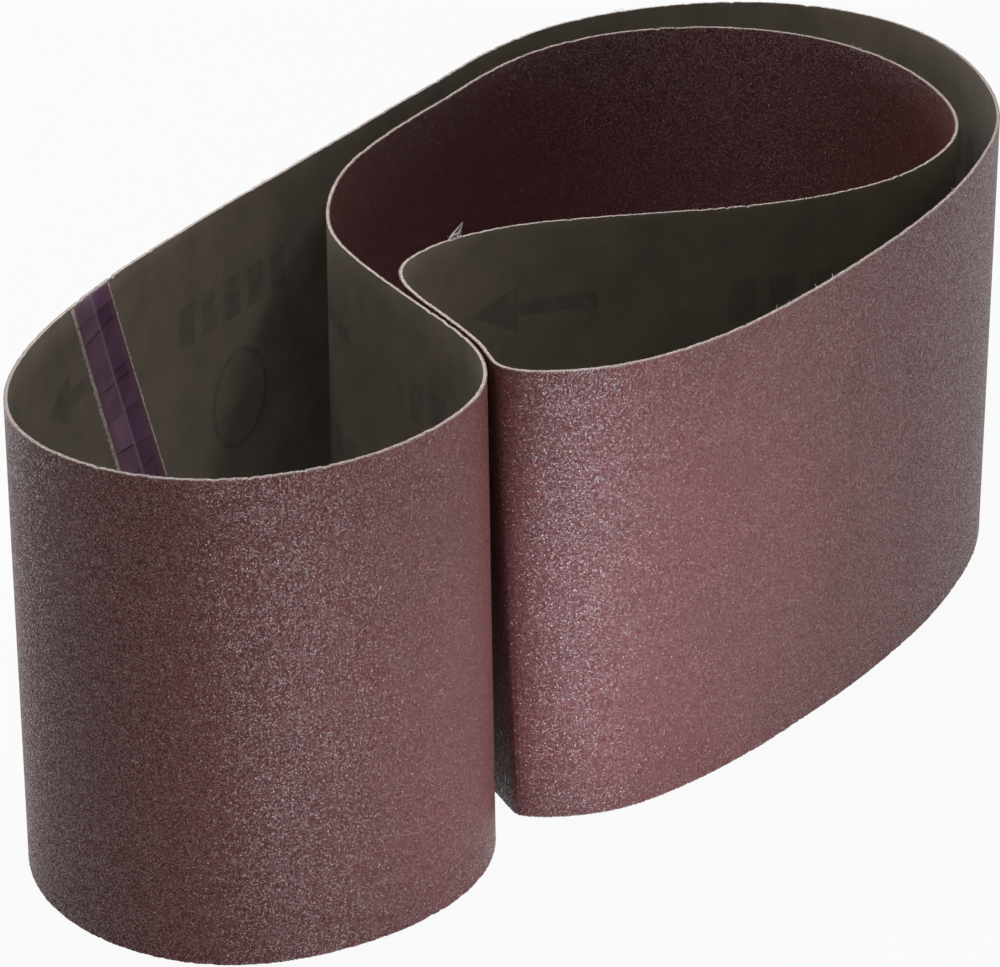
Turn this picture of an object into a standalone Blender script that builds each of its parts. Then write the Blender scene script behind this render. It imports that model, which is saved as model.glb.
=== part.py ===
"""A sanding belt: one endless loop of abrasive cloth, folded into lobes and standing on its edge.

The loop is a wall of cloth with its abrasive on the right-hand side of the way it runs and its
backing on the left. Seen from above it makes a left lobe, turns back inside it, goes round an oval
pocket, comes back along a tongue and closes round the right end and a long back wall. A splice
tape crosses the backing at a slant, where the two ends of the cloth are joined.

Metres, +Z up. The foot of the loop stands on Z = 0, and the origin is the middle of its footprint.
"""

import math

import bmesh
import bpy
import numpy as np

# The belt
BELT_LENGTH = 2.000  # once round the loop, along its head
BELT_WIDTH = 0.150  # from foot to head
CLOTH_THICKNESS = 0.0011  # backing, bond and grain together

# The splice tape
TAPE_WIDTH = 0.020
TAPE_THICKNESS = 0.0002
TAPE_ANGLE = 68.0  # degrees between the tape and the belt's length
TAPE_PLACE = 0.078  # from the tape's upper end to the loop's start, along the head
TAPE_INSET = 0.0005  # from the tape's ends to the edges of the cloth
TAPE_GAP = 0.0003  # between the tape and the backing it lies on

# How the loop lies: points on the head's middle line, as x, y and the wall's lean in degrees.
# A wall that leans by more than 0 has its foot further out on the abrasive side than its head.
LEFT_LOBE = (
    (-0.1385, -0.1040, 0.4),
    (-0.1330, -0.1270, -0.4),
    (-0.1120, -0.1515, -0.4),
    (-0.0790, -0.1620, 0.4),
    (-0.0440, -0.1520, 0.8),
    (-0.0175, -0.1270, 1.5),
    (-0.0050, -0.0980, 1.1),
)
FOLD_SIDE = (
    (-0.0065, -0.0730, 0.6),
    (-0.0130, -0.0570, 0.4),
    (-0.0215, -0.0410, 0.0),
)
INNER_TURN = (
    (-0.0330, -0.0200, 0.0),
    (-0.0500, 0.0160, 0.0),
    (-0.0545, 0.0550, 0.0),
    (-0.0445, 0.1010, 0.0),
)
POCKET = (
    (-0.0180, 0.1560, 0.0),
    (0.0180, 0.2120, 0.0),
    (0.0710, 0.2350, 0.0),
    (0.1185, 0.2185, 0.0),
    (0.1470, 0.1750, 0.0),
    (0.1525, 0.1200, 0.0),
)
TONGUE = (
    (0.1250, 0.0720, 0.0),
    (0.0860, 0.0505, 0.0),
    (0.0320, 0.0380, 0.0),
    (-0.0100, 0.0220, -0.4),
    (-0.0300, -0.0060, -0.8),
)
RIGHT_FRONT = (
    (0.0000, -0.0835, -3.2),
    (0.0200, -0.0870, -3.2),
    (0.0550, -0.0695, -2.7),
    (0.1010, -0.0145, -1.3),
    (0.1490, 0.0695, 0.4),
    (0.1695, 0.1460, 0.4),
)
BACK_WALL = (
    (0.1635, 0.2000, 0.0),
    (0.1440, 0.2400, 0.0),
    (0.0980, 0.2650, 0.0),
    (0.0530, 0.2580, 0.0),
    (0.0170, 0.2340, 0.0),
    (-0.0190, 0.1790, 0.0),
    (-0.0600, 0.1005, 0.0),
    (-0.0970, 0.0300, 0.0),
    (-0.1260, -0.0350, 0.4),
)
FOLD_CLEARANCE = 0.0013  # between the left lobe's inner side and the tongue's fold beside it
FOLD_LEANS = (-1.5, -1.9, -2.5)  # degrees, down the tongue's fold

# How finely the loop is drawn
STEPS_PER_SPAN = 10
LENGTH_PASSES = 4
TAPE_STEPS_ALONG = 10
TAPE_STEPS_ACROSS = 4

# Finish of each surface: colour, roughness and metallic value
FINISHES = {
    "abrasive": ((0.200, 0.105, 0.105), 0.70, 0.0),
    "backing": ((0.105, 0.100, 0.085), 0.90, 0.0),
    "cut_edge": ((0.560, 0.460, 0.410), 0.95, 0.0),
    "splice_tape": ((0.110, 0.055, 0.110), 0.35, 0.0),
}


def clear_scene():
    for thing in list(bpy.data.objects):
        bpy.data.objects.remove(thing)


def material(name):
    colour, roughness, metallic = FINISHES[name]
    made = bpy.data.materials.new(name)
    made.use_nodes = True
    shader = made.node_tree.nodes["Principled BSDF"]
    shader.inputs["Base Color"].default_value = (*colour, 1.0)
    shader.inputs["Roughness"].default_value = roughness
    shader.inputs["Metallic"].default_value = metallic
    return made


def right_of(directions):
    """The level unit vectors on the right-hand side of each direction."""
    sides = np.column_stack([directions[:, 1], -directions[:, 0]])
    return sides / np.linalg.norm(sides, axis=1)[:, None]


def fold_beside(points, distance):
    """The tongue's fold: the same points the other way round, that distance to their right."""
    places = points[:, :2] + distance * right_of(np.gradient(points[:, :2], axis=0))
    return np.column_stack([places[::-1], FOLD_LEANS])


def lying_points(scale):
    """Every point that the loop passes through, with the lobes scaled and the fold's gap kept."""
    def scaled(points):
        return np.array(points) * (scale, scale, 1.0)

    fold_side = scaled(FOLD_SIDE)
    return np.vstack([
        scaled(LEFT_LOBE),
        fold_side,
        scaled(INNER_TURN),
        scaled(POCKET),
        scaled(TONGUE),
        fold_beside(fold_side, CLOTH_THICKNESS + FOLD_CLEARANCE),
        scaled(RIGHT_FRONT),
        scaled(BACK_WALL),
    ])


def smooth_loop(points):
    """A closed cubic spline through the points, the curve that a bent strip of cloth takes up."""
    count = len(points)
    following = np.roll(points, -1, axis=0)
    spans = np.linalg.norm((following - points)[:, :2], axis=1)
    slopes = (following - points) / spans[:, None]
    joints = np.zeros((count, count))
    for i in range(count):
        joints[i, i - 1] = spans[i - 1]
        joints[i, i] = 2 * (spans[i - 1] + spans[i])
        joints[i, (i + 1) % count] = spans[i]
    bends = np.linalg.solve(joints, 6 * (slopes - np.roll(slopes, 1, axis=0)))
    next_bends = np.roll(bends, -1, axis=0)
    rows = []
    for i in range(count):
        for t in np.arange(STEPS_PER_SPAN) / STEPS_PER_SPAN:
            u = 1 - t
            straight = u * points[i] + t * following[i]
            bow = (u**3 - u) * bends[i] + (t**3 - t) * next_bends[i]
            rows.append(straight + spans[i] ** 2 / 6 * bow)
    return np.array(rows)


def distances_round(line):
    """How far round a closed line each of its points lies, and the length of the whole."""
    steps = np.linalg.norm(np.roll(line, -1, axis=0) - line, axis=1)
    return np.concatenate([[0.0], np.cumsum(steps)])


def lay_loop():
    """The middle lines of the head and the foot, and the level direction out of the abrasive."""
    scale = 1.0
    for _ in range(LENGTH_PASSES):
        rows = smooth_loop(lying_points(scale))
        scale *= BELT_LENGTH / distances_round(rows[:, :2])[-1]
    head = rows[:, :2]
    outward = right_of(np.roll(head, -1, axis=0) - np.roll(head, 1, axis=0))
    foot = head + BELT_WIDTH * np.tan(np.radians(rows[:, 2:])) * outward
    reach = np.vstack([head, foot]) + np.vstack([outward, outward]) * CLOTH_THICKNESS / 2
    middle = (reach.min(axis=0) + reach.max(axis=0)) / 2
    return head - middle, foot - middle, outward


def add_object(name, mesh, collection, materials):
    thing = bpy.data.objects.new(name, mesh)
    for slot in materials:
        mesh.materials.append(slot)
    collection.objects.link(thing)
    return thing


def build_belt(loop, collection):
    """The wall of cloth: an upright section, abrasive outside and backing inside, led round the loop."""
    head, foot, outward = loop
    half = CLOTH_THICKNESS / 2
    corners = (
        (foot + half * outward, 0.0),
        (head + half * outward, BELT_WIDTH),
        (head - half * outward, BELT_WIDTH),
        (foot - half * outward, 0.0),
    )
    sides = ("abrasive", "cut_edge", "backing", "cut_edge")
    slots = ("abrasive", "backing", "cut_edge")
    body = bmesh.new()
    rings = [[body.verts.new((x, y, height)) for x, y in line] for line, height in corners]
    for k, side in enumerate(sides):
        lower, upper = rings[k], rings[(k + 1) % len(rings)]
        for i in range(len(head)):
            face = body.faces.new((lower[i - 1], lower[i], upper[i], upper[i - 1]))
            face.material_index = slots.index(side)
            face.smooth = side != "cut_edge"
    bmesh.ops.recalc_face_normals(body, faces=body.faces)
    mesh = bpy.data.meshes.new("belt")
    body.to_mesh(mesh)
    body.free()
    return add_object("belt", mesh, collection, [material(slot) for slot in slots])


def on_backing(loop, along, height, depth):
    """The place on the backing, so far back round the loop from its start and so far above its foot."""
    head, foot, outward = loop
    round_it = distances_round(head)
    place = (round_it[-1] - along) % round_it[-1]

    def at(line):
        closed = np.vstack([line, line[:1]])
        return np.array([np.interp(place, round_it, closed[:, k]) for k in range(2)])

    share = height / BELT_WIDTH
    x, y = at(foot) + share * (at(head) - at(foot)) - depth * at(outward)
    return x, y, height


def build_tape(loop, collection):
    """The splice tape: a flat strip laid on the backing at its slant, and given its thickness."""
    slant = math.radians(TAPE_ANGLE)
    half_width = TAPE_WIDTH / 2 / math.sin(slant)
    depth = CLOTH_THICKNESS / 2 + TAPE_GAP + TAPE_THICKNESS / 2
    body = bmesh.new()
    bmesh.ops.create_grid(body, x_segments=TAPE_STEPS_ACROSS, y_segments=TAPE_STEPS_ALONG, size=1.0)
    for corner in body.verts:
        height = BELT_WIDTH / 2 + corner.co.y * (BELT_WIDTH / 2 - TAPE_INSET)
        down = BELT_WIDTH - height
        along = TAPE_PLACE + down / math.tan(slant) + corner.co.x * half_width
        corner.co = on_backing(loop, along, height, depth)
    mesh = bpy.data.meshes.new("splice_tape")
    body.to_mesh(mesh)
    body.free()
    tape = add_object("splice_tape", mesh, collection, [material("splice_tape")])
    skin = tape.modifiers.new("thickness", "SOLIDIFY")
    skin.thickness = TAPE_THICKNESS
    skin.offset = 0.0
    return tape


def main():
    clear_scene()
    collection = bpy.data.collections.new("sanding_belt")
    bpy.context.scene.collection.children.link(collection)
    loop = lay_loop()
    build_belt(loop, collection)
    build_tape(loop, collection)


main()
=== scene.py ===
"""The looks of the sanding belt: coated cloth with its grain, its woven backing, its frayed cut
edges and the creased splice tape, standing folded on a pale floor.

Metres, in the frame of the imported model: the foot of the loop stands on Z = 0 and +Y points away
from the viewer. Places round the loop are counted in metres from its leftmost point, along the way
that it runs with the abrasive on the right.
"""

import math
import random

import bpy
import numpy as np
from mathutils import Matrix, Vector


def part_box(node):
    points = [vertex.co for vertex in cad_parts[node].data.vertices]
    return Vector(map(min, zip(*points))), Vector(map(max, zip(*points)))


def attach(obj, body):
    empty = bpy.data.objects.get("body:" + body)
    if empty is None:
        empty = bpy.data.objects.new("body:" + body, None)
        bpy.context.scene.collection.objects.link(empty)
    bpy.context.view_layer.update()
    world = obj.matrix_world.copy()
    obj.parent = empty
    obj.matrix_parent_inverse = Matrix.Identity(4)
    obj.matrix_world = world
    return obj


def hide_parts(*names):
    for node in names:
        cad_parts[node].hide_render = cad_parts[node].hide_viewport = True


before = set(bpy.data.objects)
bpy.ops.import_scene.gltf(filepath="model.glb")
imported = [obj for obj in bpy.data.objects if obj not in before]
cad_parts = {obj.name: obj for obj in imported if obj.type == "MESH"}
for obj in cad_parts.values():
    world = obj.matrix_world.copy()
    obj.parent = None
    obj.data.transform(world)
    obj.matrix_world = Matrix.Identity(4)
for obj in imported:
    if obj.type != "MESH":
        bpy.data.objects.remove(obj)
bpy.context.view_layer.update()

# The photograph's view
CAMERA_TARGET = Vector((-0.0151, -0.0512, 0.0750))
CAMERA_DISTANCE = 1.1681
CAMERA_ELEVATION = math.radians(24.5)
SENSOR_WIDTH = 36.0
FOCAL_LENGTH = 134.2

# The cloth's mesh
STEPS_ROUND = 3600
CUT_MARGIN = (0.0, 0.0004, 0.0020, 0.0110)  # rows close to each cut edge
OPEN_ROWS = 3  # rows in the open wall between them
CUT_ROWS = (0.45, -0.40)  # rows across the flat cut, as shares of the half thickness
ABRASIVE, BACKING, CUT_EDGE = range(3)  # the cloth's material slots
CLOTH_CORNER = 50  # degrees from which two faces of the cloth meet at a sharp edge
MAP_ROWS = 3  # rows that the unrolled loop takes in its texture map
MAP_GAP = 0.01  # the share of a map row that stays clear

# The cloth's form
WAVES = 9
WAVE_HEIGHT = 0.00012
WAVE_ROUNDS = (8, 40)  # crests that one wave has round the loop
WAVE_CLIMB = 1.2  # half waves by which a crest may lean from foot to head
EDGE_RAGGED = 0.00010
EDGE_REACH = 0.0005  # how far from the cut its raggedness fades
EDGE_STEP_BACK = 0.00010  # the grain stops short of the cut cloth
TUFT_STEPS = 4  # mesh steps to one tuft of cut yarn
NICK_COUNT = 110
NICK_SPREAD = (1, 4)  # mesh steps
NICK_DEPTH = 0.00040

# Loose fibres along the cut edges
FIBRE_COUNT = 5200
FOOT_FIBRE_EVERY = 5  # one fibre in so many is at the foot, and the others at the head
FIBRE_LENGTH = (0.00020, 0.00085)
FIBRE_RADIUS = 0.000045
FIBRE_TAPER = 0.6
THREAD_LENGTH = (0.0006, 0.0022)
THREAD_RADIUS = 0.00009
OFF_AXIS = (0.31, 0.52, 0.79)  # a direction that no fibre runs in

# Worn places on the head's edge: where, how far they spread, and how many longer threads stand up
FRAYED_PLACES = (
    (0.361, 0.003, 7),
    (0.664, 0.004, 14),
    (0.700, 0.012, 12),
    (0.749, 0.004, 8),
    (0.967, 0.003, 10),
    (1.188, 0.010, 12),
    (1.215, 0.016, 14),
    (1.290, 0.020, 10),
    (1.597, 0.004, 6),
    (1.799, 0.003, 8),
    (1.821, 0.002, 5),
)
TORN_TAB = 0.967  # how far round the loop it is
TAB_STRANDS = (  # a torn sliver of yarn: each strand's points, as millimetres along the edge and up
    ((3.2, -0.3), (1.2, 1.1), (-1.4, 3.0), (-3.2, 4.6)),
    ((-0.6, -0.3), (-1.8, 2.0), (-3.2, 4.6)),
    ((1.6, 0.9), (-0.6, 1.5), (-2.0, 2.2)),
    ((2.2, -0.3), (0.4, 0.8), (-1.6, 1.2)),
)
TAB_COPIES = 3
TAB_SCATTER = 0.00016
TAB_RADIUS = 0.000153

# The grain
GRAIN_CELL = 0.00030
FINE_GRAIN_CELL = 0.00014
GRAIN_TILT = 0.27
GRAIN_COLOURS = (
    (0.00, (0.087, 0.030, 0.029)),
    (0.30, (0.141, 0.049, 0.047)),
    (0.80, (0.186, 0.065, 0.061)),
    (0.94, (0.230, 0.090, 0.084)),
    (1.00, (0.335, 0.180, 0.160)),
)
GRAIN_GAP_SHADE = 0.42  # painted shade in the gaps between the grains: how much darker they are made there
FLECK_SHARE = 0.010
FLECK_COLOUR = (0.50, 0.36, 0.25)
GLASSY_SHARE = 0.38  # facets of bare grain, which glint; the others lie under resin
GLASSY_SPECULAR, RESIN_SPECULAR = 0.64, 0.06
GLASSY_ROUGHNESS, RESIN_ROUGHNESS = 0.25, 0.55
JOINT_WIDTHS = (0.00010, 0.00028)  # from the joint's middle to where its dark line fades and ends
DRESSED_WIDTHS = (0.0060, 0.0075)  # the same for the grain that is dressed down beside it
JOINT_COLOUR, DRESSED_COLOUR = (0.030, 0.018, 0.018), (0.115, 0.064, 0.064)
CHIP_REACH = (0.0001, 0.0005)  # how far from a cut edge the chipped grain fades
CHIP_COLOUR = (0.44, 0.35, 0.31)
DUST_REACH = (0.0005, 0.0120)
DUST_COLOUR = (0.52, 0.45, 0.41)

# The backing and its print
BACKING_COLOUR = (0.190, 0.156, 0.114)
WEAVE_PITCH = 0.00055
PRINT_PERIOD = 0.200
PRINT_STRENGTH = 0.36
PRINT_SOFT = 0.0004  # half the width over which the ink's edge fades
INK_COLOUR = (0.030, 0.028, 0.024)
LINT_COLOUR = (0.30, 0.27, 0.22)
FRAYED_COLOUR = (0.42, 0.37, 0.31)

# The cut edge and its loose fibres
EDGE_COLOURS = ((0.20, (0.29, 0.225, 0.185)), (0.50, (0.56, 0.465, 0.400)), (0.80, (0.75, 0.66, 0.59)))
PIT_COLOUR = (0.16, 0.11, 0.09)
FIBRE_COLOURS = ((0.35, (0.46, 0.39, 0.33)), (0.65, (0.78, 0.72, 0.66)))

# The tape
TAPE_LIFT = 0.00004
TAPE_THICKNESS = 0.00012
TAPE_INSET = 0.0006  # from the tape's ends to the edges of the cloth
TAPE_STEPS = (28, 300)  # across and up
TAPE_CORNER = 45  # degrees from which two faces of the tape meet at a sharp edge
FILM, SCRIM = range(2)  # the tape's material slots
TAPE_BORDERS = (0.0009, 0.0018)  # the pale scrim beyond the film, before and after it round the loop
SCRIM_THICKNESS = 0.000042
SCRIM_FRAY = (-0.0006, 0.0003)
FRINGE_THREADS = 260
FRINGE_REACH = (0.7, 1.7)  # shares of the scrim's border
FRINGE_RADIUS = 0.00006
FRINGE_INSET = 0.001
CREASE_COUNT = 14
CREASE_TILT = 0.0022  # the most that a crease climbs from the tape's middle to its side
CREASE_HEIGHT = 0.00012
CREASE_WIDTH = 0.0006
CREASE_BAND_SHADES = (0.80, 1.16)  # painted light and shade: how much lighter or darker the film is made between two creases
# painted shade along each crease's line
CREASE_LINE_SHADE = 0.85
CREASE_LINE = 0.00035  # half the width of a crease's line of painted shade
HALF_CREASES = 0.6  # the share of creases whose line of painted shade shows on one side of the joint alone
RIDGE_HEIGHT, RIDGE_WIDTH = 0.00005, 0.0007  # the film over the joint
FILM_LIGHT, FILM_DARK = (0.250, 0.140, 0.205), (0.160, 0.077, 0.142)
FILM_LINE = (0.36, 0.25, 0.32)
SCRIM_COLOURS = ((0.35, (0.36, 0.30, 0.255)), (0.52, (0.62, 0.54, 0.475)), (0.72, (0.78, 0.70, 0.63)))
FILM_RIM = (0.24, 0.110, 0.125)
FILM_LINE_WIDTHS = (0.0002, 0.0011)  # from the film's middle to where its pale line fades and ends
FILM_RIM_REACH = (0.0078, 0.0092)  # from the film's middle to where its rim begins and is full
SCUFF_COLOUR = (0.20, 0.14, 0.20)

# The studio. Softboxes: name, azimuth, elevation, distance, size and power. Spots: name, place that
# they light, azimuth, elevation, distance, cone, power and colour. Azimuth 0 is the viewer's side and
# 90 the right.
SOFTBOXES = (
    ("key", 25, 1, 1.2, 0.16, 4.8),
    ("left_rim", -112, 3, 1.5, 0.30, 5.0),
    ("right_rim", 112, 3, 1.5, 0.30, 1.0),
    ("left_top", -95, 55, 1.2, 0.40, 2.0),
    ("front_top", 20, 60, 0.9, 0.30, 0.4),
    ("overhead", 0, 90, 1.4, 0.12, 9.5),
    ("back_top", 165, 40, 1.5, 0.50, 1.2),
    ("back", 205, 14, 1.6, 0.60, 6.5),
)
LAMP_COLOUR = (0.97, 0.98, 1.06)
SHEEN_COLOUR = (0.88, 1.02, 1.24)
SPOTS = (
    ("sheen_right", (0.030, -0.087, 0.058), 25, 1, 1.1, 15, 21.0, SHEEN_COLOUR),
    ("sheen_front", (0.045, -0.080, 0.060), 13, 1, 1.1, 16, 19.5, SHEEN_COLOUR),
    ("lobe_front", (-0.060, -0.155, 0.060), 35, 1, 1.1, 15, 6.0, LAMP_COLOUR),
    ("lobe_low", (-0.030, -0.130, 0.020), 78, 3, 1.1, 9, 16.0, LAMP_COLOUR),
    ("lobe_high", (-0.030, -0.130, 0.120), 78, 3, 1.1, 9, 14.0, LAMP_COLOUR),
    ("left_lobe", (-0.085, -0.060, 0.100), 68, 62, 0.9, 17, 9.0, LAMP_COLOUR),
)
SPOT_RADIUS = 0.06
WORLD_LIGHT = 0.08
FLOOR_COLOUR = 0.40
FLOOR_GLOW = 0.94  # the share of the floor that is plain white where it is seen directly


def ring_area(line):
    x, y = line[:, 0], line[:, 1]
    return float((x * np.roll(y, -1) - np.roll(x, -1) * y).sum()) / 2


def rims_at(mesh, height):
    """The two closed lines that bound the flat cut edge at a height: the longer way round first."""
    reach = 1e-5
    ways = set()
    for face in mesh.polygons:
        corners = [tuple(round(c, 6) for c in mesh.vertices[v].co) for v in face.vertices]
        if all(abs(corner[2] - height) < reach for corner in corners):
            ways.update(zip(corners, corners[1:] + corners[:1]))
    following = {a: b for a, b in ways if (b, a) not in ways}
    lines = []
    while following:
        corner = min(following)
        line = []
        while corner in following:
            line.append(corner)
            corner = following.pop(corner)
        lines.append(np.array(line)[:, :2])
    lines.sort(key=lambda line: -abs(ring_area(line)))
    return [line if ring_area(line) > 0 else line[::-1] for line in lines]


def rolled_to(line, place):
    """A closed line that starts at its point nearest to a place."""
    return np.roll(line, -int(np.linalg.norm(line - place, axis=1).argmin()), axis=0)


def spline_round(points, count):
    """A closed cubic spline through points, read at even steps of its first two columns' length."""
    following = np.roll(points, -1, axis=0)
    spans = np.linalg.norm((following - points)[:, :2], axis=1)
    slopes = (following - points) / spans[:, None]
    size = len(points)
    joints = np.zeros((size, size))
    for i in range(size):
        joints[i, i - 1] = spans[i - 1]
        joints[i, i] = 2 * (spans[i - 1] + spans[i])
        joints[i, (i + 1) % size] = spans[i]
    bends = np.linalg.solve(joints, 6 * (slopes - np.roll(slopes, 1, axis=0)))
    starts = np.concatenate([[0.0], np.cumsum(spans)])
    at = np.arange(count) / count * starts[-1]
    i = np.searchsorted(starts, at, side="right") - 1
    j = (i + 1) % size
    t = ((at - starts[i]) / spans[i])[:, None]
    u = 1 - t
    bow = (u**3 - u) * bends[i] + (t**3 - t) * bends[j]
    return u * points[i] + t * points[j] + spans[i][:, None] ** 2 / 6 * bow


class Wall:
    """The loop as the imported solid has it: its middle lines at head and foot, evenly sampled."""

    def __init__(self):
        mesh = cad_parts["belt"].data
        low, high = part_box("belt")
        self.height = high.z - low.z
        head_outer, head_inner = rims_at(mesh, high.z)
        foot_outer, foot_inner = rims_at(mesh, low.z)
        head_outer = np.roll(head_outer, -int(head_outer[:, 0].argmin()), axis=0)
        head = (head_outer + rolled_to(head_inner, head_outer[0])) / 2
        self.thickness = float(np.linalg.norm(head_outer[0] - head[0])) * 2
        gaps = np.linalg.norm(foot_outer[None] - head_outer[:, None], axis=2)
        upright, below = np.unravel_index(gaps.argmin(), gaps.shape)
        foot_outer = np.roll(foot_outer, upright - below, axis=0)
        foot = (foot_outer + rolled_to(foot_inner, foot_outer[0])) / 2
        both = spline_round(np.hstack([head, foot]), STEPS_ROUND)
        self.head, self.foot = both[:, :2], both[:, 2:]
        steps = np.linalg.norm(np.roll(self.head, -1, axis=0) - self.head, axis=1)
        self.length = float(steps.sum())
        self.along = np.arange(STEPS_ROUND + 1) / STEPS_ROUND * self.length
        run = np.roll(self.head, -1, axis=0) - np.roll(self.head, 1, axis=0)
        out = np.column_stack([run[:, 1], -run[:, 0]])
        self.out = out / np.linalg.norm(out, axis=1)[:, None]

    def place(self, along, height, depth):
        """Points on the wall: so far round the loop, so high, and so far out of its middle."""
        along = np.mod(along, self.length)
        rows = np.hstack([self.head, self.foot, self.out])
        rows = np.vstack([rows, rows[:1]])
        read = np.stack([np.interp(along, self.along, rows[:, k]) for k in range(6)], axis=-1)
        share = np.asarray(height)[..., None] / self.height
        flat = read[..., 2:4] + share * (read[..., 0:2] - read[..., 2:4])
        flat = flat + np.asarray(depth)[..., None] * read[..., 4:6]
        heights = np.broadcast_to(np.asarray(height, float), flat.shape[:-1])
        return np.concatenate([flat, heights[..., None]], axis=-1)

    def nearest(self, points):
        """How far round the loop the given points lie."""
        share = points[:, 2:3] / self.height
        found = []
        for point, part in zip(points[:, :2], share):
            line = self.foot + part * (self.head - self.foot)
            found.append(self.along[np.linalg.norm(line - point, axis=1).argmin()])
        return np.array(found)


def link(name, mesh, materials):
    thing = bpy.data.objects.new(name, mesh)
    for material in materials:
        mesh.materials.append(material)
    bpy.context.scene.collection.objects.link(thing)
    return thing


# The cloth

def cloth_rows(wall):
    """The section of the cloth, once round: height, share of the half thickness, and surface."""
    margin = np.array(CUT_MARGIN)
    middle = np.linspace(margin[-1], wall.height - margin[-1], OPEN_ROWS + 2)[1:-1]
    heights = np.concatenate([margin, middle, wall.height - margin[::-1]])
    rows = [(height, 1.0) for height in heights]
    rows += [(wall.height, share) for share in CUT_ROWS]
    rows += [(height, -1.0) for height in heights[::-1]]
    rows += [(0.0, share) for share in CUT_ROWS[::-1]]
    last = len(heights)
    cut = [CUT_EDGE] * len(CUT_ROWS)
    surfaces = [ABRASIVE] * last + cut + [BACKING] * (last - 1) + cut + [ABRASIVE]
    return np.array(rows), surfaces


def gentle_waves(wall, heights, draw):
    """How far the wall stands in or out of its plain form, for every step and every height."""
    total = np.zeros((STEPS_ROUND, len(heights)))
    turn = wall.along[:-1] / wall.length * math.tau
    for _ in range(WAVES):
        rounds = draw.integers(*WAVE_ROUNDS)
        climb = draw.uniform(-WAVE_CLIMB, WAVE_CLIMB) * math.pi / wall.height
        phase = draw.uniform(0, math.tau)
        total += np.sin(rounds * turn[:, None] + climb * heights[None] + phase)
    return WAVE_HEIGHT * total / math.sqrt(WAVES)


def nicked(draw):
    """How far the cut edge falls back at each step round: a fine ragged line with some nicks."""
    ragged = np.abs(draw.normal(0.0, EDGE_RAGGED, STEPS_ROUND))
    tufts = draw.normal(0.0, EDGE_RAGGED, STEPS_ROUND // TUFT_STEPS)
    ragged += 0.5 * np.abs(np.repeat(tufts, TUFT_STEPS))
    for at in draw.integers(0, STEPS_ROUND, NICK_COUNT):
        spread = draw.integers(*NICK_SPREAD)
        for k in range(-spread, spread + 1):
            ragged[(at + k) % STEPS_ROUND] += NICK_DEPTH * draw.uniform(0.3, 1.0) / (1 + abs(k))
    return ragged


def build_cloth(wall, materials):
    draw = np.random.default_rng(7)
    rows, surfaces = cloth_rows(wall)
    heights, sides = rows[:, 0], rows[:, 1]
    count = len(rows)
    waves = gentle_waves(wall, heights, draw)
    fall_head, fall_foot = nicked(draw), nicked(draw)
    places = np.empty((STEPS_ROUND, count, 3))
    loose = draw.normal(0.0, EDGE_RAGGED / 2, (STEPS_ROUND, count))
    for k in range(count):
        from_head, from_foot = wall.height - heights[k], heights[k]
        near = math.exp(-min(from_head, from_foot) / EDGE_REACH)
        back = EDGE_STEP_BACK * max(0.0, sides[k])
        height = np.full(STEPS_ROUND, heights[k])
        if from_head < from_foot:
            height -= near * (fall_head + back)
        else:
            height += near * (fall_foot + back)
        depth = sides[k] * wall.thickness / 2 + waves[:, k] + near * loose[:, k]
        places[:, k] = wall.place(wall.along[:-1], height, depth)
    i, k = np.meshgrid(np.arange(STEPS_ROUND), np.arange(count), indexing="ij")
    after, beyond = (i + 1) % STEPS_ROUND, (k + 1) % count
    here, there = i * count, after * count
    faces = np.stack([here + k, there + k, there + beyond, here + beyond], axis=-1)
    mesh = bpy.data.meshes.new("belt_cloth")
    mesh.from_pydata(places.reshape(-1, 3), [], faces.reshape(-1, 4).tolist())
    mesh.polygons.foreach_set("material_index", np.tile(surfaces, STEPS_ROUND).astype(np.int32))
    mesh.polygons.foreach_set("use_smooth", np.ones(len(mesh.polygons), bool))
    map_cloth(wall, mesh, heights, count)
    cloth = link("belt_cloth", mesh, materials)
    mesh.set_sharp_from_angle(angle=math.radians(CLOTH_CORNER))
    return cloth


def map_cloth(wall, mesh, heights, count):
    """Two maps: the place on the belt in metres, and the whole section unrolled in a few rows."""
    i, k = np.meshgrid(np.arange(STEPS_ROUND), np.arange(count), indexing="ij")
    step = wall.length / STEPS_ROUND
    turns = np.array([(0, 0), (1, 0), (1, 1), (0, 1)])
    across = i[..., None] + turns[:, 0]
    up = k[..., None] + turns[:, 1]
    metres = np.stack([across * step, heights[up % count]], axis=-1)
    mesh.uv_layers.new(name="metres").uv.foreach_set("vector", metres.astype(np.float32).ravel())
    widths = np.abs(np.diff(np.append(heights, heights[0])))
    widths = np.maximum(widths, wall.thickness / 3)
    section = np.concatenate([[0.0], np.cumsum(widths)])
    section /= section[-1]
    per_row = STEPS_ROUND // MAP_ROWS
    row = i // per_row
    u = MAP_GAP / 2 + (1 - MAP_GAP) * (across - row[..., None] * per_row) / per_row
    v = (row[..., None] + MAP_GAP / 2 + (1 - MAP_GAP) * section[up]) / MAP_ROWS
    unrolled = np.stack([u, v], axis=-1)
    mesh.uv_layers.new(name="OFBake").uv.foreach_set("vector", unrolled.astype(np.float32).ravel())


# Loose fibres and threads

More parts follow.
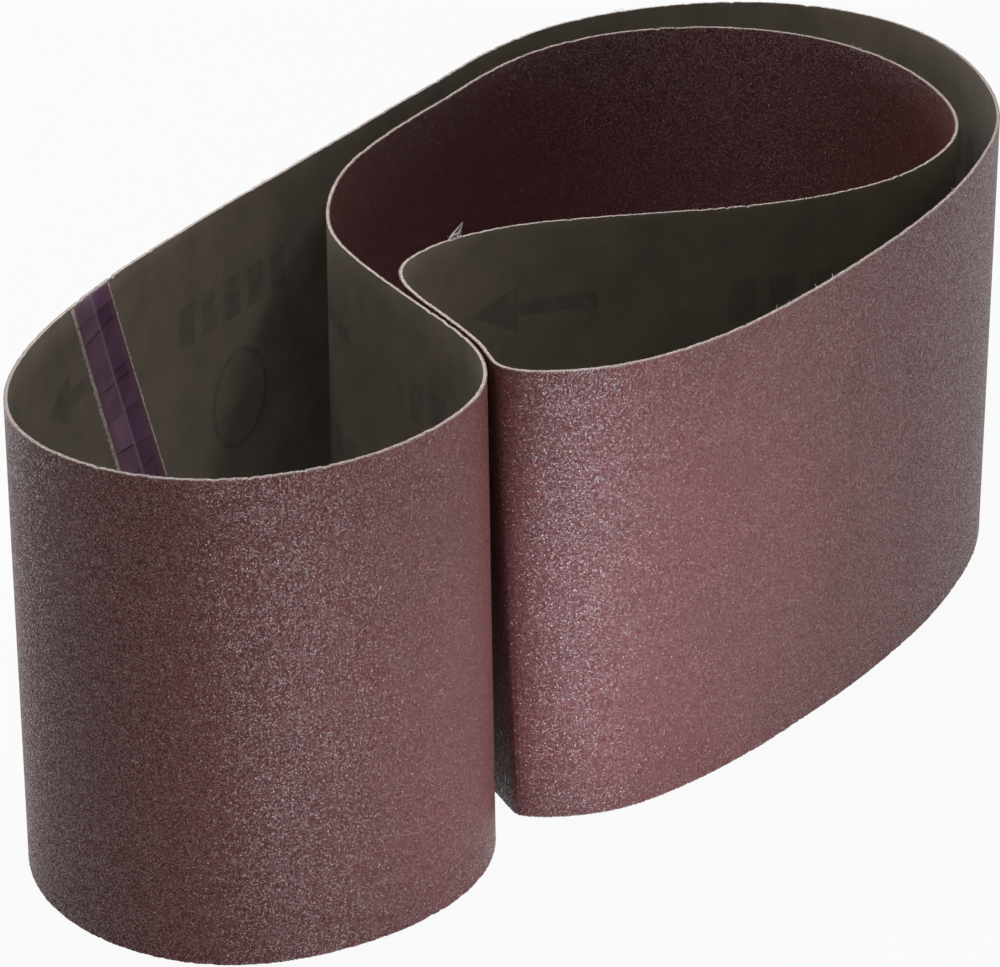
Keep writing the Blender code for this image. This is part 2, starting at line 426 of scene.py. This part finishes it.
def add_spike(points, radius, corners, faces):
    """A thin tapering three-sided fibre through its points, closed at both ends."""
    points = np.asarray(points)
    runs = np.gradient(points, axis=0)
    first = len(corners)
    last = len(points) - 1
    for n, (point, run) in enumerate(zip(points[:-1], runs[:-1])):
        run = run / np.linalg.norm(run)
        side = np.cross(run, OFF_AXIS)
        side /= np.linalg.norm(side)
        other = np.cross(run, side)
        width = radius * (1 - FIBRE_TAPER * n / last)
        for turn in (0.0, math.tau / 3, 2 * math.tau / 3):
            corners.append(point + width * (math.cos(turn) * side + math.sin(turn) * other))
    corners.append(points[-1])
    faces.append((first + 2, first + 1, first))
    for n in range(last):
        for k in range(3):
            a, b = first + 3 * n + k, first + 3 * n + (k + 1) % 3
            if n == last - 1:
                faces.append((a, b, len(corners) - 1))
            else:
                faces.append((a, b, b + 3, a + 3))


def build_fibres(wall, material):
    """Short broken fibres all along both cut edges, and longer threads at the worn places."""
    draw = random.Random(11)
    corners, faces = [], []

    def stands(at, top, across, lean, length, lift, radius, bends=2):
        base_height = wall.height - EDGE_STEP_BACK if top else EDGE_STEP_BACK
        way = 1 if top else -1
        shares = np.linspace(0, 1, bends + 1)
        curl = draw.uniform(-0.5, 0.5)
        along = at + length * (lean * shares + curl * shares**2)
        height = base_height + way * lift * length * np.sin(shares * draw.uniform(0.7, 1.5))
        height = np.maximum(height, FIBRE_RADIUS)
        depth = across + draw.uniform(-0.6, 0.6) * length * shares
        add_spike(wall.place(along, height, depth), radius, corners, faces)

    half = wall.thickness / 2
    for n in range(FIBRE_COUNT):
        stands(
            at=draw.uniform(0, wall.length),
            top=n % FOOT_FIBRE_EVERY > 0,
            across=draw.uniform(-1.0, 0.7) * half,
            lean=draw.uniform(-0.9, 0.9),
            length=draw.uniform(*FIBRE_LENGTH),
            lift=draw.uniform(0.2, 0.8),
            radius=FIBRE_RADIUS,
        )
    for place, spread, count in FRAYED_PLACES:
        for _ in range(count):
            stands(
                at=draw.gauss(place, spread / 2),
                top=True,
                across=draw.uniform(-0.9, 0.9) * half,
                lean=draw.uniform(-1.0, 1.0),
                length=draw.uniform(*THREAD_LENGTH),
                lift=draw.uniform(0.1, 0.9),
                radius=draw.uniform(0.5, 1.0) * THREAD_RADIUS,
                bends=5,
            )
    for strand in TAB_STRANDS * TAB_COPIES:
        reach = np.array(strand) / 1000
        scatter = np.array([[draw.gauss(0, TAB_SCATTER) for _ in range(3)] for _ in strand])
        along = TORN_TAB + reach[:, 0] + scatter[:, 0]
        height = wall.height + reach[:, 1] + scatter[:, 1]
        depth = np.full(len(strand), 0.2 * half) + scatter[:, 2]
        add_spike(wall.place(along, height, depth), TAB_RADIUS, corners, faces)
    mesh = bpy.data.meshes.new("edge_fibres")
    mesh.from_pydata(corners, [], faces)
    return link("edge_fibres", mesh, [material])


# The splice tape

def tape_course(wall):
    """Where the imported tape's middle crosses the foot and the head, and its half width along the loop."""
    points = np.array([v.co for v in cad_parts["splice_tape"].data.vertices], float)
    along = wall.nearest(points)
    slope, start = np.polyfit(points[:, 2], along, 1)
    half = np.abs(along - start - slope * points[:, 2]).max()
    return start, slope, float(half)


def crease_film(wall, half, up, across, draw):
    """How far the film stands up at each of its points, and its painted light and shade: lighter or darker
    bands between creases, and painted shade along them.
    """
    tilts = draw.uniform(-CREASE_TILT, CREASE_TILT, CREASE_COUNT)
    levels = (np.arange(CREASE_COUNT) + draw.uniform(0.15, 0.85, CREASE_COUNT)) * wall.height / CREASE_COUNT
    # painted light and shade on the bands between creases
    band_shades = draw.uniform(*CREASE_BAND_SHADES, (2, CREASE_COUNT + 1))
    relief = np.zeros(up.shape)
    passed = np.zeros(up.shape, int)
    line_shade = np.ones(up.shape)
    for level, tilt in zip(levels, tilts):
        away = up - level - tilt * across
        passed += away > 0
        relief += CREASE_HEIGHT * draw.uniform(0.4, 1.0) * np.exp(-(away / CREASE_WIDTH) ** 2)
        shown = np.sign(across) == draw.choice((-1, 1)) if draw.random() < HALF_CREASES else 1.0
        # painted shade along the crease's line
        line_shade -= CREASE_LINE_SHADE * draw.uniform(0.5, 1.0) * shown * np.exp(-(away / CREASE_LINE) ** 2)
    relief += RIDGE_HEIGHT * np.exp(-(across * half / RIDGE_WIDTH) ** 2)
    return relief, band_shades[(across > 0).astype(int), passed] * line_shade


def strip_faces(rows, columns):
    """The upper side, underside and rim of a strip, with its outer columns and rim in the scrim's slot."""
    size = rows * columns
    faces, slots = [], []
    for r in range(rows - 1):
        for c in range(columns - 1):
            a, b = r * columns + c, (r + 1) * columns + c
            faces += [(a, b, b + 1, a + 1), (a + size, a + 1 + size, b + 1 + size, b + size)]
            slots += [SCRIM if c in (0, columns - 2) else FILM] * 2
    rim = list(range(columns))
    rim += [r * columns + columns - 1 for r in range(1, rows)]
    rim += [(rows - 1) * columns + c for c in range(columns - 2, -1, -1)]
    rim += [r * columns for r in range(rows - 2, 0, -1)]
    for a, b in zip(rim, rim[1:] + rim[:1]):
        faces.append((a, b, b + size, a + size))
        slots.append(SCRIM)
    return faces, slots


def add_fringe(wall, course, surface, corners, faces, draw):
    """Loose threads of the scrim, which stick out on both sides of the film."""
    start, slope, half = course
    run = np.linspace(0.0, 1.0, 4)
    for n in range(FRINGE_THREADS):
        side = 1 if n % 3 else -1
        height = draw.uniform(FRINGE_INSET, wall.height - FRINGE_INSET)
        reach = TAPE_BORDERS[side > 0] * draw.uniform(*FRINGE_REACH)
        along = start + slope * height + side * half + side * reach * run
        heights = height + reach * draw.uniform(-0.8, 0.8) * run
        depth = np.full(len(run), surface - TAPE_THICKNESS * draw.uniform(0.2, 1.2))
        add_spike(wall.place(along, heights, depth), FRINGE_RADIUS, corners, faces)


def map_tape(mesh, across, up, crease_shade):
    """The place across and up the tape, and the creases' painted light and shade on the film, with all three
    0 on the fringe.
    """
    fringe = np.zeros(len(mesh.vertices) - 2 * crease_shade.size)
    across, up, crease_shade = (np.concatenate([np.tile(values.ravel(), 2), fringe]) for values in (across, up, crease_shade))
    which = np.zeros(len(mesh.loops), np.int32)
    mesh.loops.foreach_get("vertex_index", which)
    places = np.column_stack([across[which], up[which]]).astype(np.float32)
    mesh.uv_layers.new(name="tape").uv.foreach_set("vector", places.ravel())
    mesh.attributes.new("crease_shade", "FLOAT", "POINT").data.foreach_set("value", crease_shade.astype(np.float32))


def build_tape(wall, course, materials):
    """The film over the joint with its creases, and the pale frayed scrim that shows beside it."""
    draw = np.random.default_rng(23)
    start, slope, half = course
    across_steps, up_steps = TAPE_STEPS
    before, after = (border / half for border in TAPE_BORDERS)
    shares = np.concatenate([[-1 - before], np.linspace(-1, 1, across_steps - 3), [1 + after]])
    heights = np.linspace(TAPE_INSET, wall.height - TAPE_INSET, up_steps)
    up, across = np.meshgrid(heights, shares, indexing="ij")
    # the creases' relief, and their painted light and shade
    relief, crease_shade = crease_film(wall, half, up, across, draw)
    film = np.abs(across) <= 1 + 1e-6
    relief = np.where(film, relief + TAPE_THICKNESS, SCRIM_THICKNESS)
    fray = draw.uniform(*SCRIM_FRAY, up.shape) * ~film
    along = start + slope * up + half * across + np.sign(across) * fray
    surface = -(wall.thickness / 2 + TAPE_LIFT)
    upper = wall.place(along, up, surface - relief)
    under = wall.place(along, up, np.full(up.shape, surface + TAPE_LIFT * 0.8))
    corners = list(np.concatenate([upper.reshape(-1, 3), under.reshape(-1, 3)]))
    faces, slots = strip_faces(up_steps, len(shares))
    add_fringe(wall, course, surface, corners, faces, draw)
    slots += [SCRIM] * (len(faces) - len(slots))
    mesh = bpy.data.meshes.new("tape_film")
    mesh.from_pydata(corners, [], faces)
    mesh.polygons.foreach_set("material_index", np.array(slots, np.int32))
    mesh.polygons.foreach_set("use_smooth", np.ones(len(faces), bool))
    map_tape(mesh, across * half, up, crease_shade)
    tape = link("tape_film", mesh, materials)
    mesh.set_sharp_from_angle(angle=math.radians(TAPE_CORNER))
    return tape


# Materials

class Shades:
    """The node tree of one material, with short calls for the nodes that the finishes use."""

    def __init__(self, name):
        self.material = bpy.data.materials.new(name)
        self.material.use_nodes = True
        self.tree = self.material.node_tree
        self.shader = self.tree.nodes["Principled BSDF"]

    def put(self, socket, value):
        if isinstance(value, bpy.types.NodeSocket):
            self.tree.links.new(value, socket)
        elif socket.type == "RGBA":
            socket.default_value = (*value, 1.0) if len(value) == 3 else value
        else:
            socket.default_value = value

    def node(self, kind, settings=None, **inputs):
        made = self.tree.nodes.new("ShaderNode" + kind)
        for key, value in (settings or {}).items():
            setattr(made, key, value)
        for key, value in inputs.items():
            self.put(made.inputs[key.replace("_", " ")], value)
        return made

    def math(self, operation, *values):
        made = self.tree.nodes.new("ShaderNodeMath")
        made.operation = operation
        for socket, value in zip(made.inputs, values):
            self.put(socket, value)
        return made.outputs[0]

    def vector(self, operation, *values):
        made = self.tree.nodes.new("ShaderNodeVectorMath")
        made.operation = operation
        for socket, value in zip(made.inputs, values):
            self.put(socket, value)
        return made.outputs[0]

    def ramp(self, factor, stops):
        made = self.tree.nodes.new("ShaderNodeValToRGB")
        elements = made.color_ramp.elements
        while len(elements) < len(stops):
            elements.new(0.5)
        for element, (position, colour) in zip(elements, stops):
            element.position = position
            element.color = (*colour, 1.0)
        self.put(made.inputs[0], factor)
        return made.outputs[0]

    def span(self, value, start, end, low=0.0, high=1.0):
        made = self.node("MapRange", {"interpolation_type": "SMOOTHSTEP"})
        for socket, number in zip(made.inputs, (value, start, end, low, high)):
            self.put(socket, number)
        return made.outputs[0]

    def mix(self, factor, first, second, blend="MIX"):
        made = self.tree.nodes.new("ShaderNodeMix")
        made.data_type = "RGBA"
        made.blend_type = blend
        colours = [socket for socket in made.inputs if socket.type == "RGBA"]
        self.put(made.inputs[0], factor)
        self.put(colours[0], first)
        self.put(colours[1], second)
        return next(socket for socket in made.outputs if socket.type == "RGBA")

    def shaded(self, colour, level):
        """A colour made darker or lighter by a level."""
        grey = self.node("CombineColor", Red=level, Green=level, Blue=level).outputs[0]
        return self.mix(1.0, colour, grey, "MULTIPLY")

    def channel(self, colour, number):
        return self.node("SeparateColor", Color=colour).outputs[number]

    def scaled(self, vector, scale):
        return self.node("VectorMath", {"operation": "SCALE"}, Vector=vector, Scale=scale).outputs[0]

    def mapped(self, name):
        """The two coordinates of a texture map."""
        spot = self.node("SeparateXYZ", Vector=self.node("UVMap", {"uv_map": name}).outputs[0])
        return spot.outputs[0], spot.outputs[1]

    def noise(self, place, size, detail=2.0, rough=0.5):
        return self.node("TexNoise", Vector=place, Scale=1 / size, Detail=detail, Roughness=rough).outputs[0]

    def cells(self, place, size):
        return self.node("TexVoronoi", Vector=place, Scale=1 / size)

    def finish(self, **values):
        for key, value in values.items():
            self.put(self.shader.inputs[key.replace("_", " ")], value)
        return self.material


def abrasive_finish(wall, course):
    """Brown aluminium oxide grain in its resin: tilted facets that glint, painted shade in the gaps between
    grains, pale chips.
    """
    s = Shades("abrasive_grain")
    place = s.node("TexCoord").outputs["Object"]
    along, height = s.mapped("metres")
    cells = s.cells(place, GRAIN_CELL)
    fine = s.cells(place, FINE_GRAIN_CELL)
    chance = s.channel(cells.outputs["Color"], 0)
    fine_chance = s.channel(fine.outputs["Color"], 1)
    pick = s.math("ADD", s.math("MULTIPLY", chance, 0.62), s.math("MULTIPLY", fine_chance, 0.38))
    colour = s.ramp(pick, GRAIN_COLOURS)
    # painted shade: darker towards each grain's edge, a little lighter at its middle
    gap_shade = s.span(cells.outputs["Distance"], 0.30, 0.62, 1.0 + GRAIN_GAP_SHADE / 4, 1.0 - GRAIN_GAP_SHADE)
    colour = s.shaded(colour, gap_shade)
    fleck = s.span(chance, 1.0 - FLECK_SHARE - 0.002, 1.0 - FLECK_SHARE + 0.002, 0.0, 0.85)
    colour = s.mix(fleck, colour, FLECK_COLOUR)
    cloud = s.noise(place, 0.045, 3.0, 0.55)
    tint = s.ramp(cloud, ((0.30, (0.90, 0.93, 0.90)), (0.50, (1.0, 1.0, 1.0)), (0.70, (1.06, 0.98, 1.0))))
    colour = s.mix(1.0, colour, tint, "MULTIPLY")
    streak_at = s.node("CombineXYZ", X=s.math("MULTIPLY", along, 0.08), Y=height, Z=0.0).outputs[0]
    colour = s.shaded(colour, s.span(s.noise(streak_at, 0.004, 2.0), 0.35, 0.65, 0.95, 1.04))

    start, slope, _ = course
    middle = s.math("ADD", start, s.math("MULTIPLY", height, slope))
    aside = s.math("ABSOLUTE", s.math("SUBTRACT", along, middle))
    joint = s.span(aside, *JOINT_WIDTHS, 1.0, 0.0)
    colour = s.mix(s.span(aside, *DRESSED_WIDTHS, 0.45, 0.0), colour, DRESSED_COLOUR)
    colour = s.mix(joint, colour, JOINT_COLOUR)

    from_edge = s.math("MINIMUM", height, s.math("SUBTRACT", wall.height, height))
    chipped = s.math("MULTIPLY", s.span(from_edge, *CHIP_REACH, 1.0, 0.0), s.span(fine_chance, 0.45, 0.75))
    colour = s.mix(chipped, colour, CHIP_COLOUR)
    dust_near = s.span(from_edge, *DUST_REACH, 1.0, 0.0)
    dust_spot = s.span(s.noise(place, 0.0011, 2.0), 0.66, 0.74)
    dust_where = s.span(s.noise(place, 0.03, 1.0), 0.48, 0.62)
    dust = s.math("MULTIPLY", s.math("MULTIPLY", dust_near, dust_spot), dust_where)
    colour = s.mix(s.math("MULTIPLY", dust, 0.6), colour, DUST_COLOUR)

    relief = s.math("SUBTRACT", fine.outputs["Distance"], s.math("MULTIPLY", joint, 3.0))
    facet = grain_facets(s, cells, fine)
    bump = s.node("Bump", Height=relief, Strength=0.35, Distance=0.00008, Normal=facet)
    bare = s.channel(cells.outputs["Color"], 2)
    glassy = s.span(bare, 1.0 - GLASSY_SHARE - 0.02, 1.0 - GLASSY_SHARE + 0.02)
    rough = s.span(glassy, 0.0, 1.0, RESIN_ROUGHNESS, GLASSY_ROUGHNESS)
    shine = s.span(glassy, 0.0, 1.0, RESIN_SPECULAR, GLASSY_SPECULAR)
    return s.finish(Base_Color=colour, Roughness=rough, Specular_IOR_Level=shine, Normal=bump.outputs[0])


def grain_facets(s, cells, fine):
    """The surface's normal, turned a little by chance on each grain."""
    turned = s.node("NewGeometry").outputs["Normal"]
    for grains, tilt in ((cells, 2 * GRAIN_TILT), (fine, GRAIN_TILT)):
        chance = s.vector("SUBTRACT", grains.outputs["Color"], (0.5, 0.5, 0.5))
        turned = s.vector("ADD", turned, s.scaled(chance, tilt))
    return s.vector("NORMALIZE", turned)


def print_mask(s, along, height):
    """Plain marks that repeat along the backing: a running arrow, a ring, and rows of bars."""
    turns = s.math("FRACT", s.math("DIVIDE", along, PRINT_PERIOD))
    x = s.math("MULTIPLY", turns, PRINT_PERIOD)

    def inside(distance):
        return s.span(distance, -PRINT_SOFT, PRINT_SOFT, 1.0, 0.0)

    def box(cx, cy, width, tall):
        dx = s.math("SUBTRACT", s.math("ABSOLUTE", s.math("SUBTRACT", x, cx)), width / 2)
        dy = s.math("SUBTRACT", s.math("ABSOLUTE", s.math("SUBTRACT", height, cy)), tall / 2)
        return inside(s.math("MAXIMUM", dx, dy))

    def bars(cx, cy, width, tall, pitch, share):
        local = s.math("FRACT", s.math("DIVIDE", s.math("SUBTRACT", x, cx - width / 2), pitch))
        teeth = s.span(local, share - 0.04, share + 0.04, 1.0, 0.0)
        return s.math("MULTIPLY", box(cx, cy, width, tall), teeth)

    def arrow(cx, cy, length, tall):
        shaft = box(cx - length * 0.2, cy, length * 0.6, tall * 0.34)
        ahead = s.math("SUBTRACT", x, cx + length * 0.1)
        slope = s.math("ADD", s.math("ABSOLUTE", s.math("SUBTRACT", height, cy)),
                       s.math("MULTIPLY", ahead, tall / 2 / (length * 0.4)))
        point = s.math("MULTIPLY", inside(s.math("SUBTRACT", slope, tall / 2)),
                       inside(s.math("MULTIPLY", ahead, -1.0)))
        return s.math("MAXIMUM", shaft, point)

    def ring(cx, cy, radius, stroke):
        dx = s.math("SUBTRACT", x, cx)
        dy = s.math("SUBTRACT", height, cy)
        far = s.math("SQRT", s.math("ADD", s.math("MULTIPLY", dx, dx), s.math("MULTIPLY", dy, dy)))
        return inside(s.math("SUBTRACT", s.math("ABSOLUTE", s.math("SUBTRACT", far, radius)), stroke / 2))

    marks = (
        bars(0.045, 0.118, 0.070, 0.014, 0.0140, 0.66),
        bars(0.140, 0.080, 0.084, 0.014, 0.0140, 0.62),
        bars(0.052, 0.046, 0.056, 0.007, 0.0070, 0.60),
        bars(0.150, 0.022, 0.070, 0.014, 0.0140, 0.66),
        arrow(0.140, 0.122, 0.044, 0.016),
        ring(0.040, 0.082, 0.016, 0.0022),
        arrow(0.052, 0.018, 0.030, 0.012),
    )
    total = marks[0]
    for mark in marks[1:]:
        total = s.math("MAXIMUM", total, mark)
    return total


def backing_finish(wall):
    """Dark olive-grey cloth, filled with resin: its weave, faint worn print, lint and slubs."""
    s = Shades("backing_cloth")
    place = s.node("TexCoord").outputs["Object"]
    along, height = s.mapped("metres")
    wobble = s.math("MULTIPLY", s.math("SUBTRACT", s.noise(place, 0.004, 2.0), 0.5), WEAVE_PITCH)
    warp = s.math("SINE", s.math("MULTIPLY", s.math("ADD", height, wobble), math.tau / WEAVE_PITCH))
    weft = s.math("SINE", s.math("MULTIPLY", s.math("ADD", along, wobble), math.tau / WEAVE_PITCH))
    weave = s.math("MULTIPLY", warp, weft)
    level = s.span(weave, -1.0, 1.0, 0.80, 1.20)
    cloud = s.span(s.noise(place, 0.018, 4.0, 0.6), 0.25, 0.75, 0.82, 1.18)
    colour = s.shaded(BACKING_COLOUR, s.math("MULTIPLY", level, cloud))
    worn = s.span(s.noise(place, 0.006, 4.0, 0.7), 0.30, 0.62, 0.35, 1.0)
    printed = s.math("MULTIPLY", s.math("MULTIPLY", print_mask(s, along, height), worn), PRINT_STRENGTH)
    colour = s.mix(printed, colour, INK_COLOUR)
    lint = s.span(s.noise(place, 0.0011, 2.0), 0.700, 0.745)
    colour = s.mix(s.math("MULTIPLY", lint, 0.55), colour, LINT_COLOUR)
    from_edge = s.math("MINIMUM", height, s.math("SUBTRACT", wall.height, height))
    patches = s.span(s.noise(place, 0.0006), 0.4, 0.6)
    frayed = s.math("MULTIPLY", s.span(from_edge, *CHIP_REACH, 0.8, 0.0), patches)
    colour = s.mix(frayed, colour, FRAYED_COLOUR)
    relief = s.math("ADD", s.math("MULTIPLY", weave, 0.5), s.noise(place, 0.0004, 2.0))
    bump = s.node("Bump", Height=relief, Strength=0.5, Distance=0.00010)
    return s.finish(Base_Color=colour, Roughness=0.85, Specular_IOR_Level=0.35, Normal=bump.outputs[0])


def edge_finish():
    """The cut through the cloth: pale broken yarn, with dark resin and grain between."""
    s = Shades("cut_edge_fibres")
    place = s.node("TexCoord").outputs["Object"]
    coarse = s.noise(place, 0.0012, 4.0, 0.7)
    colour = s.ramp(coarse, EDGE_COLOURS)
    pits = s.span(s.noise(place, 0.0004, 2.0), 0.58, 0.70, 0.0, 0.6)
    colour = s.mix(pits, colour, PIT_COLOUR)
    bump = s.node("Bump", Height=s.noise(place, 0.0003, 3.0), Strength=0.8, Distance=0.00012)
    return s.finish(Base_Color=colour, Roughness=0.95, Specular_IOR_Level=0.2, Normal=bump.outputs[0])


def fibre_finish():
    s = Shades("loose_fibres")
    place = s.node("TexCoord").outputs["Object"]
    colour = s.ramp(s.noise(place, 0.004, 2.0), FIBRE_COLOURS)
    return s.finish(Base_Color=colour, Roughness=0.9, Specular_IOR_Level=0.2)


def film_finish():
    """Satin purple film, lighter on one side of the joint beneath it, with its creases' painted light and
    shade, and scuffed along its creases.
    """
    s = Shades("tape_film_purple")
    across, height = s.mapped("tape")
    place = s.node("TexCoord").outputs["Object"]
    side = s.span(across, -0.0004, 0.0004)
    colour = s.mix(side, FILM_DARK, FILM_LIGHT)
    cloud = s.span(s.noise(place, 0.010, 4.0, 0.6), 0.3, 0.7, 0.80, 1.22)
    # the creases' painted light and shade, kept on the mesh
    crease_shade = s.node("Attribute", {"attribute_name": "crease_shade"}).outputs["Fac"]
    colour = s.shaded(colour, s.math("MULTIPLY", cloud, crease_shade))
    line = s.span(s.math("ABSOLUTE", across), *FILM_LINE_WIDTHS, 0.75, 0.0)
    colour = s.mix(line, colour, FILM_LINE)
    rim = s.span(s.math("ABSOLUTE", across), *FILM_RIM_REACH, 0.0, 0.6)
    colour = s.mix(rim, colour, FILM_RIM)
    scuff_at = s.node("CombineXYZ", X=s.math("MULTIPLY", across, 0.12), Y=height, Z=0.0).outputs[0]
    scuff = s.span(s.noise(scuff_at, 0.0022, 3.0, 0.6), 0.62, 0.74, 0.0, 0.35)
    colour = s.mix(scuff, colour, SCUFF_COLOUR)
    bump = s.node("Bump", Height=s.noise(place, 0.0008, 3.0), Strength=0.25, Distance=0.00008)
    return s.finish(Base_Color=colour, Roughness=0.42, Normal=bump.outputs[0])


def scrim_finish():
    s = Shades("tape_scrim")
    place = s.node("TexCoord").outputs["Object"]
    colour = s.ramp(s.noise(place, 0.0011, 3.0, 0.6), SCRIM_COLOURS)
    return s.finish(Base_Color=colour, Roughness=0.95, Specular_IOR_Level=0.2)


# The studio

def seen_directly(tree):
    """1 for rays from the camera, a reflection or a clear surface, and 0 for the rest."""
    path = tree.nodes.new("ShaderNodeLightPath")
    total = path.outputs["Is Camera Ray"]
    for name in ("Is Glossy Ray", "Is Transmission Ray"):
        both = tree.nodes.new("ShaderNodeMath")
        both.operation = "MAXIMUM"
        tree.links.new(total, both.inputs[0])
        tree.links.new(path.outputs[name], both.inputs[1])
        total = both.outputs[0]
    return total


def build_world():
    world = bpy.data.worlds.new("studio")
    world.use_nodes = True
    tree = world.node_tree
    shown = tree.nodes["Background"]
    shown.inputs["Color"].default_value = (1.0, 1.0, 1.0, 1.0)
    strength = tree.nodes.new("ShaderNodeMapRange")
    strength.inputs["To Min"].default_value = WORLD_LIGHT
    strength.inputs["To Max"].default_value = 1.0
    tree.links.new(seen_directly(tree), strength.inputs["Value"])
    tree.links.new(strength.outputs[0], shown.inputs["Strength"])
    bpy.context.scene.world = world


def build_floor():
    bpy.ops.mesh.primitive_plane_add(size=8.0, location=(0.0, 0.0, 0.0))
    floor = bpy.context.object
    floor.name = "floor"
    material = bpy.data.materials.new("pale_floor")
    material.use_nodes = True
    tree = material.node_tree
    tree.nodes.remove(tree.nodes["Principled BSDF"])
    surface = tree.nodes.new("ShaderNodeBsdfDiffuse")
    surface.inputs["Color"].default_value = (*[FLOOR_COLOUR] * 3, 1.0)
    glow = tree.nodes.new("ShaderNodeEmission")
    share = tree.nodes.new("ShaderNodeMath")
    share.operation = "MULTIPLY"
    share.inputs[1].default_value = FLOOR_GLOW
    tree.links.new(seen_directly(tree), share.inputs[0])
    blend = tree.nodes.new("ShaderNodeMixShader")
    tree.links.new(share.outputs[0], blend.inputs[0])
    tree.links.new(surface.outputs[0], blend.inputs[1])
    tree.links.new(glow.outputs[0], blend.inputs[2])
    tree.links.new(blend.outputs[0], tree.nodes["Material Output"].inputs["Surface"])
    floor.data.materials.append(material)


def hang(name, lamp, aim, azimuth, elevation, distance):
    """Puts a lamp in the scene, turned to the place that it lights."""
    turn, rise = math.radians(azimuth), math.radians(elevation)
    away = Vector((math.sin(turn) * math.cos(rise), -math.cos(turn) * math.cos(rise), math.sin(rise)))
    light = bpy.data.objects.new(name, lamp)
    bpy.context.scene.collection.objects.link(light)
    light.location = aim + distance * away
    light.rotation_euler = (-away).to_track_quat("-Z", "Y").to_euler()


def area_light(name, azimuth, elevation, distance, size, power):
    lamp = bpy.data.lights.new(name, "AREA")
    lamp.size = size
    lamp.energy = power
    lamp.color = LAMP_COLOUR
    hang(name, lamp, Vector((0.0, 0.0, 0.075)), azimuth, elevation, distance)


def spot_light(name, aim, azimuth, elevation, distance, cone, power, colour):
    lamp = bpy.data.lights.new(name, "SPOT")
    lamp.energy = power
    lamp.color = colour
    lamp.spot_size = math.radians(cone)
    lamp.spot_blend = 1.0
    lamp.shadow_soft_size = SPOT_RADIUS
    hang(name, lamp, Vector(aim), azimuth, elevation, distance)


def build_camera():
    lens = bpy.data.cameras.new("photo_view")
    lens.sensor_width = SENSOR_WIDTH
    lens.lens = FOCAL_LENGTH
    camera = bpy.data.objects.new("photo_view", lens)
    bpy.context.scene.collection.objects.link(camera)
    back = Vector((0.0, -math.cos(CAMERA_ELEVATION), math.sin(CAMERA_ELEVATION)))
    camera.location = CAMERA_TARGET + CAMERA_DISTANCE * back
    camera.rotation_euler = (math.pi / 2 - CAMERA_ELEVATION, 0.0, 0.0)
    bpy.context.scene.camera = camera


def main():
    build_camera()
    wall = Wall()
    course = tape_course(wall)
    cloth = build_cloth(wall, [abrasive_finish(wall, course), backing_finish(wall), edge_finish()])
    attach(cloth, "root")
    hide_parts("belt")

    fibres = build_fibres(wall, fibre_finish())
    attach(fibres, "root")

    tape = build_tape(wall, course, [film_finish(), scrim_finish()])
    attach(tape, "root")
    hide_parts("splice_tape")

    build_world()
    build_floor()
    for softbox in SOFTBOXES:
        area_light(*softbox)
    for spot in SPOTS:
        spot_light(*spot)
    bpy.context.scene.view_settings.view_transform = "Standard"


main()
